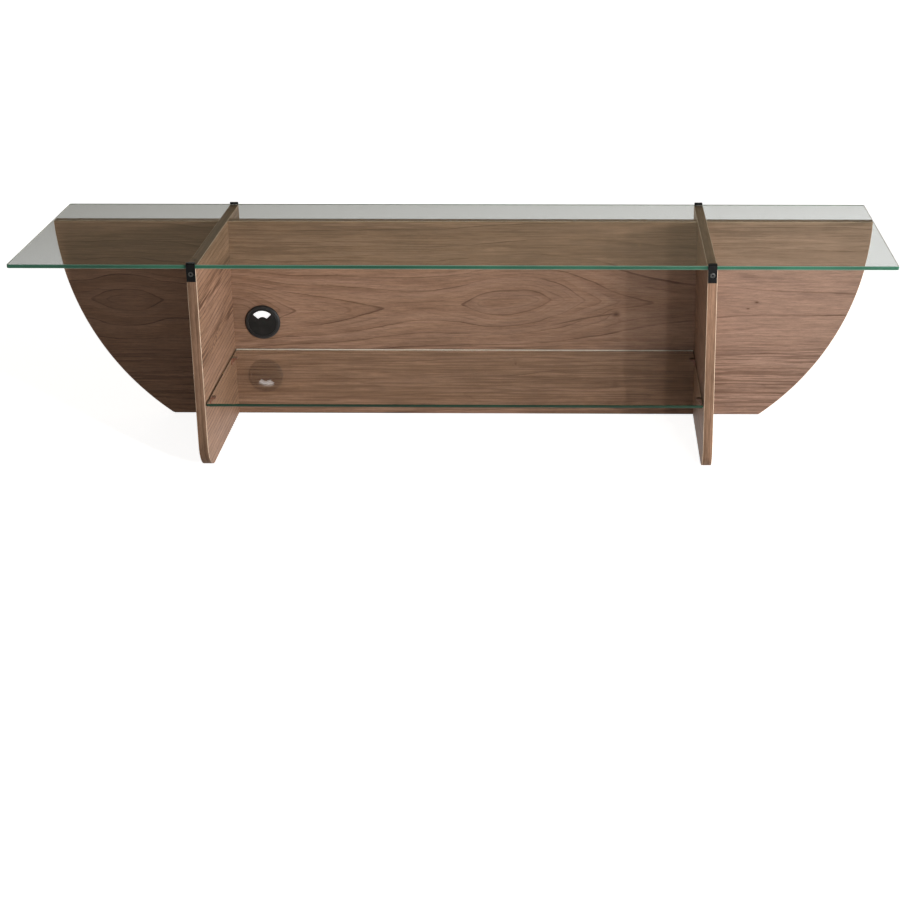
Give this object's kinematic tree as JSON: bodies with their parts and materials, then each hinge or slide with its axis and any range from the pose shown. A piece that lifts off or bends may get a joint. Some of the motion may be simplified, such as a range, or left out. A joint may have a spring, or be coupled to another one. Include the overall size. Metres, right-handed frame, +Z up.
{
  "type": "glass-topped console bench",
  "caption": "Low free-standing console: glass top on a curved-end back panel and two deep uprights, with a glass shelf between them and a turning cable grommet.",
  "frame": {"origin": "on the floor, under the middle of the top glass", "axes": "+X along the console's length, -Y out of the front where the open bay is, +Z up"},
  "size_m": [1.8, 0.508, 0.459],
  "materials": {
    "clear_glass": "polished float glass with green edges",
    "walnut_veneer": "matt lacquered walnut veneer",
    "walnut_edging": "matt walnut edging",
    "black_metal": "satin black powder coat",
    "screw_steel": "burnished",
    "insert_brass": "turned",
    "black_plastic": "fine moulded grain",
    "black_rubber": "matt",
    "clear_silicone": "clear silicone",
    "brown_plastic": "moulded, slightly translucent brown",
    "strip_plastic": "extruded, dark brown"
  },
  "bodies": {
    "console": {"top_glass": "clear_glass", "back_panel": "walnut_veneer", "left_upright": "walnut_veneer", "right_upright": "walnut_veneer", "panel_left_end_edging": "walnut_edging", "panel_right_end_edging": "walnut_edging", "panel_left_top_edging": "walnut_edging", "panel_middle_top_edging": "walnut_edging", "panel_right_top_edging": "walnut_edging", "left_upright_front_edging": "walnut_edging", "left_upright_rear_edging": "walnut_edging", "left_upright_top_edging": "walnut_edging", "right_upright_front_edging": "walnut_edging", "right_upright_rear_edging": "walnut_edging", "right_upright_top_edging": "walnut_edging", "panel_floor_strip": "strip_plastic", "left_upright_floor_strips": "strip_plastic", "right_upright_floor_strips": "strip_plastic", "front_left_clip": "black_metal", "front_right_clip": "black_metal", "rear_left_clip": "black_metal", "rear_right_clip": "black_metal", "clip_liners": "black_rubber", "clip_screws": "screw_steel", "clip_inserts": "insert_brass", "upright_glass_pads": "clear_silicone", "panel_glass_pads": "clear_silicone", "front_left_shelf_support": "brown_plastic", "front_right_shelf_support": "brown_plastic", "rear_left_shelf_support": "brown_plastic", "rear_right_shelf_support": "brown_plastic", "shelf_support_pads": "clear_silicone", "grommet_liner": "black_plastic"},
    "lower_shelf": {"lower_shelf": "clear_glass"},
    "grommet_cap": {"grommet_cap": "black_plastic"}
  },
  "joints": [
    {"name": "cap_turn", "type": "hinge", "parent": "console", "child": "grommet_cap", "pos_m": [-0.451, 0.108, 0.219], "axis": [0, -1, 0], "continuous": true},
    {"name": "shelf_lift", "type": "slide", "parent": "console", "child": "lower_shelf", "axis": [0, 0, 1], "range_m": [0, 0.02]}
  ]
}
